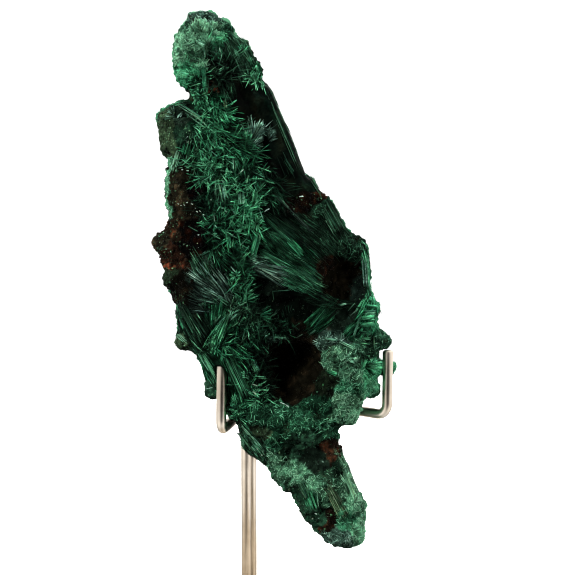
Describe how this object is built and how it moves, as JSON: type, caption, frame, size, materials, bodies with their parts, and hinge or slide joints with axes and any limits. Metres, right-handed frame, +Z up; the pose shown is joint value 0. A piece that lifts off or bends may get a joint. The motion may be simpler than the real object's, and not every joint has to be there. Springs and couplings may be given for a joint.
{
  "type": "fibrous malachite specimen on a claw stand",
  "caption": "Tall slab of dark green fibrous malachite with needle crust and matrix, held upright by a bent-rod claw stand on a round foot.",
  "frame": {"origin": "centre of the round foot's underside", "axes": "+Z up along the post, -Y towards the specimen's show face, +X to the viewer's right"},
  "size_m": [0.0696, 0.068, 0.1615],
  "materials": {
    "malachite": "velvety fibrous crust, silky on the broken fibre bundles, with brown-black matrix",
    "stand_metal": "satin champagne nickel"
  },
  "bodies": {
    "root": {"malachite": "malachite", "left_claw_rod": "stand_metal", "right_claw_rod": "stand_metal", "back_rest_rod": "stand_metal", "stand_base": "stand_metal"}
  },
  "joints": []
}
